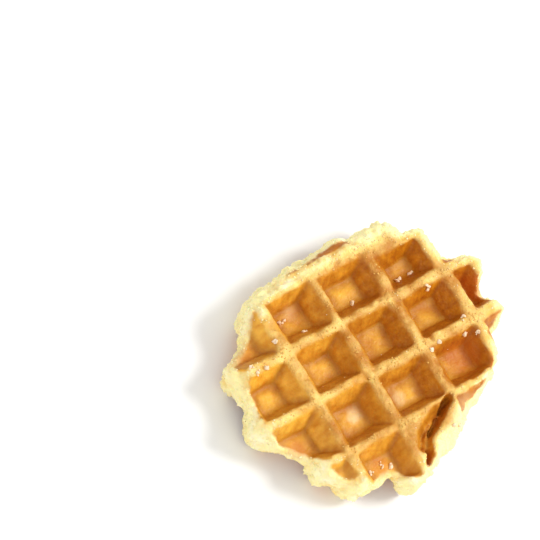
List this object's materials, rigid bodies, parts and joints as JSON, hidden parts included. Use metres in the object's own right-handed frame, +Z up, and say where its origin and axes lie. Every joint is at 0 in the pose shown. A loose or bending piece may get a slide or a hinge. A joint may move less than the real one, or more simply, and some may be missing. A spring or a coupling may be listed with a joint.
{
  "type": "belgian waffle",
  "caption": "Thick oval yeast waffle with deep rectangular pockets in both faces, a crisp lattice of narrow ridges and a pale lobed rim, lying flat.",
  "frame": {"origin": "on the resting surface, under the middle of the waffle's box", "axes": "+X along the waffle's longer side, +Y along its shorter side, +Z up out of the face that shows"},
  "size_m": [0.1112, 0.0908, 0.023],
  "materials": {
    "baked_dough": "golden baked yeast dough, darker and slightly glossy in the pockets, pale cream on the free rim"
  },
  "bodies": {
    "root": {"waffle": "baked_dough"}
  },
  "joints": []
}
